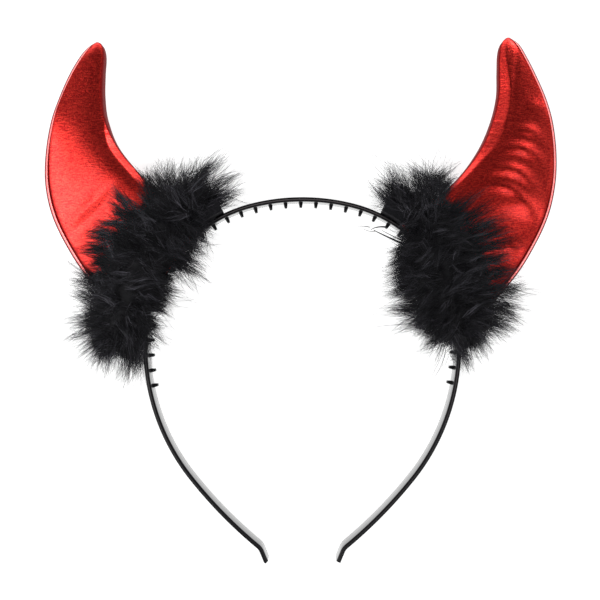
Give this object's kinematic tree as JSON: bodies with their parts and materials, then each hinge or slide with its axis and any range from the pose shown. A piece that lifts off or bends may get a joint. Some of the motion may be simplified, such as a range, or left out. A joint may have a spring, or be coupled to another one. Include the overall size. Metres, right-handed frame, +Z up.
{
  "type": "devil horns headband",
  "caption": "Plastic comb-toothed headband with padded red metallic cloth horns, each ringed with black marabou fur at its foot.",
  "frame": {"origin": "middle of the bounding box in X and Y, on the surface that the band's back edge lies on", "axes": "the headband lies on its back: +X runs across the band from the horn at the picture's left to the one at its right, +Y from the band's tips to the horns' tips, and +Z points up out of the front"},
  "size_m": [0.2044, 0.2103, 0.0325],
  "materials": {
    "black_plastic": "black injection-moulded plastic, glossy",
    "red_lame": "thin red metallic cloth over padding, shiny with a fine weave",
    "black_felt": "thin black felt, matte",
    "black_marabou": "black marabou feather trim, soft and ragged"
  },
  "bodies": {
    "root": {"headband": "black_plastic", "left_horn": "red_lame", "right_horn": "red_lame", "left_base_cuff": "black_felt", "right_base_cuff": "black_felt", "left_fur_trim": "black_marabou", "right_fur_trim": "black_marabou"}
  },
  "joints": []
}
